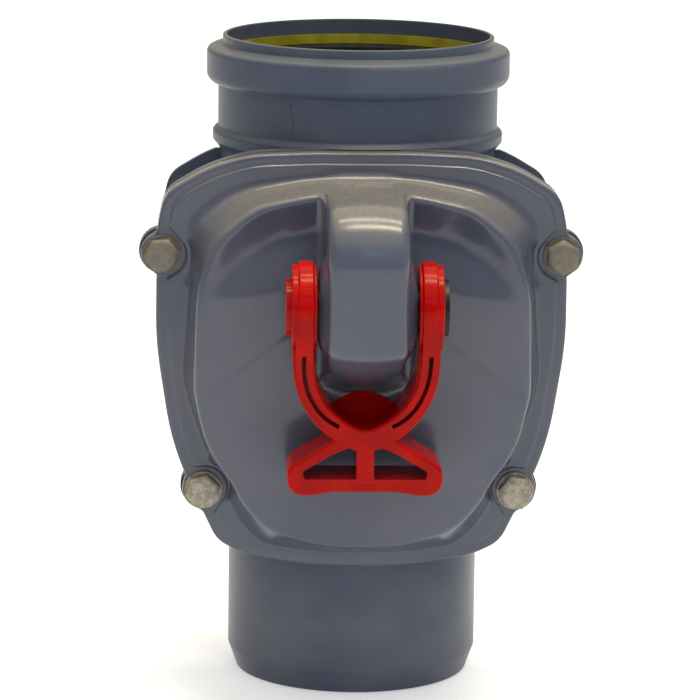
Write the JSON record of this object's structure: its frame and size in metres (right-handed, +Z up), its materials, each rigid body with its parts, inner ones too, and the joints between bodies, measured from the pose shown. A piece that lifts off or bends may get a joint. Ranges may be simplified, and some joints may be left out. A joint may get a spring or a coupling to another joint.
{
  "type": "backwater valve",
  "caption": "Grey plastic backwater valve: push-fit socket above, plain spigot below, bolted domed inspection cover and a red locking lever.",
  "frame": {"origin": "centre of the outlet spigot's end face", "axes": "+Z up the pipe's axis from the outlet spigot to the inlet socket, -Y out of the inspection cover, +X to the right across it"},
  "size_m": [0.1886, 0.2074, 0.282],
  "materials": {
    "grey_pvc": "semi-gloss",
    "red_plastic": "gloss",
    "black_plastic": "matt",
    "yellow_plastic": "matt",
    "rubber": "matt",
    "zinc_steel": "weathered",
    "stainless": "brushed"
  },
  "bodies": {
    "housing": {"valve_body": "grey_pvc", "socket_seal": "rubber", "seal_retaining_ring": "yellow_plastic", "inspection_cover": "grey_pvc", "cover_gasket": "rubber", "cover_bolts": "zinc_steel", "bolt_washers": "zinc_steel", "nut_washers": "zinc_steel", "cover_nuts": "zinc_steel", "hinge_pin": "stainless", "hinge_clips": "stainless"},
    "lever": {"operating_lever": "red_plastic", "lever_axle": "black_plastic", "axle_cap": "red_plastic", "axle_cap_screw": "zinc_steel", "axle_seals": "rubber", "locking_cam": "black_plastic", "cam_pin": "stainless"},
    "flap": {"flap_plate": "stainless", "flap_seal": "rubber", "seal_clamp_plate": "stainless", "flap_rivets": "stainless", "flap_hanger": "stainless", "lock_horn": "black_plastic", "hinge_bushes": "black_plastic"}
  },
  "joints": [
    {"name": "lever_swing", "type": "hinge", "parent": "housing", "child": "lever", "pos_m": [0, -0.12, 0.184], "axis": [-1, 0, 0], "range_deg": [0, 100]},
    {"name": "flap_swing", "type": "hinge", "parent": "housing", "child": "flap", "pos_m": [0, -0.074, 0.206], "axis": [1, 0, 0], "range_deg": [0, 82]}
  ]
}
